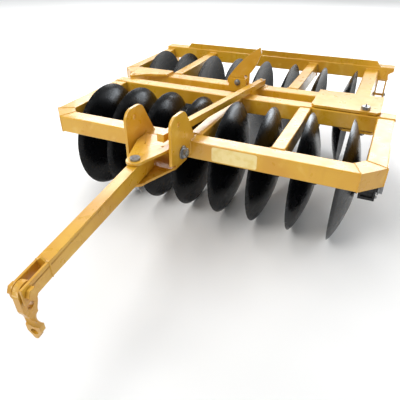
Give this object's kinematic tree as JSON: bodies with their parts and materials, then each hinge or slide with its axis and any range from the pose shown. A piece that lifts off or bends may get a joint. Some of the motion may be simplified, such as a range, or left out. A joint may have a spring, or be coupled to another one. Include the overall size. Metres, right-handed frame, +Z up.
{
  "type": "disc harrow",
  "caption": "Trailed offset disc harrow with two box-section frames, rows of dished discs on square bolts, a corner hinge between the frames and a drawbar with a twisted link.",
  "frame": {"origin": "on the ground under the middle of the whole machine's bounding box", "axes": "+X to the right side where the frames are hinged, +Y rearward from the drawbar, +Z up"},
  "size_m": [2.17, 3.075, 0.916],
  "materials": {
    "yellow_frame": "semi-gloss",
    "black_disc": "gloss",
    "black_hanger": "satin",
    "cast_spool": "satin",
    "steel_bolt": "satin"
  },
  "bodies": {
    "front_frame": {"front_fore_beam": "yellow_frame", "front_left_beam": "yellow_frame", "front_right_beam": "yellow_frame", "front_aft_beam": "yellow_frame", "front_cross_beam_left": "yellow_frame", "front_cross_beam_right": "yellow_frame", "hitch_plate_left": "yellow_frame", "hitch_plate_right": "yellow_frame", "hitch_pivot_bolt": "steel_bolt", "front_hanger_left": "black_hanger", "front_hanger_right": "black_hanger", "front_bearing_left": "black_hanger", "front_bearing_right": "black_hanger", "hinge_barrel": "yellow_frame", "brace_guide": "yellow_frame"},
    "front_gang": {"front_discs": "black_disc", "front_spools": "cast_spool", "front_gang_bolt": "steel_bolt"},
    "rear_frame": {"rear_fore_beam": "yellow_frame", "rear_left_beam": "yellow_frame", "rear_right_beam": "yellow_frame", "rear_aft_beam": "yellow_frame", "rear_cross_beam_left": "yellow_frame", "rear_cross_beam_right": "yellow_frame", "rear_rail": "yellow_frame", "rear_stay_left": "yellow_frame", "rear_stay_right": "yellow_frame", "hinge_plate_upper": "yellow_frame", "hinge_plate_lower": "yellow_frame", "hinge_pin": "steel_bolt", "lock_plate": "yellow_frame", "rear_hanger_left": "black_hanger", "rear_hanger_right": "black_hanger", "rear_bearing_left": "black_hanger", "rear_bearing_right": "black_hanger", "brace_lug": "yellow_frame", "latch_housing": "yellow_frame", "latch_lever": "yellow_frame"},
    "rear_gang": {"rear_discs": "black_disc", "rear_spools": "cast_spool", "rear_gang_bolt": "steel_bolt"},
    "jaw": {"jaw": "yellow_frame"},
    "drawbar": {"drawbar": "yellow_frame", "drawbar_pin": "steel_bolt", "nose_bolt": "steel_bolt"},
    "hitch_link": {"hitch_link": "yellow_frame"},
    "brace_bar": {"brace_bar": "yellow_frame"}
  },
  "joints": [
    {"name": "front_gang_spin", "type": "hinge", "parent": "front_frame", "child": "front_gang", "pos_m": [0.085, 0.0675, 0.355], "axis": [1, 0, 0], "continuous": true},
    {"name": "rear_gang_spin", "type": "hinge", "parent": "rear_frame", "child": "rear_gang", "pos_m": [-0.085, 1.0375, 0.355], "axis": [1, 0, 0], "continuous": true},
    {"name": "rear_frame_swing", "type": "hinge", "parent": "front_frame", "child": "rear_frame", "pos_m": [0.89, 0.4375, 0.54], "axis": [0, 0, -1], "range_deg": [0, 12]},
    {"name": "brace_bar_swing", "type": "hinge", "parent": "rear_frame", "child": "brace_bar", "pos_m": [0.16, 0.6675, 0.669], "axis": [0, 0, 1], "range_deg": [0, 10]},
    {"name": "jaw_tilt", "type": "hinge", "parent": "front_frame", "child": "jaw", "pos_m": [-0.039, -0.4425, 0.616], "axis": [-1, 0, 0], "range_deg": [0, 20]},
    {"name": "drawbar_swing", "type": "hinge", "parent": "jaw", "child": "drawbar", "pos_m": [-0.039, -0.6745, 0.641], "axis": [0, 0, 1], "range_deg": [-8, 8]},
    {"name": "link_hang", "type": "hinge", "parent": "drawbar", "child": "hitch_link", "pos_m": [0.06239, -1.5003, 0.607], "axis": [-0.9925, -0.1219, 0], "range_deg": [-45, 100]}
  ],
  "couplings": [
    {"joint": "brace_bar_swing", "follows": "rear_frame_swing", "ratio": 0.8207}
  ]
}
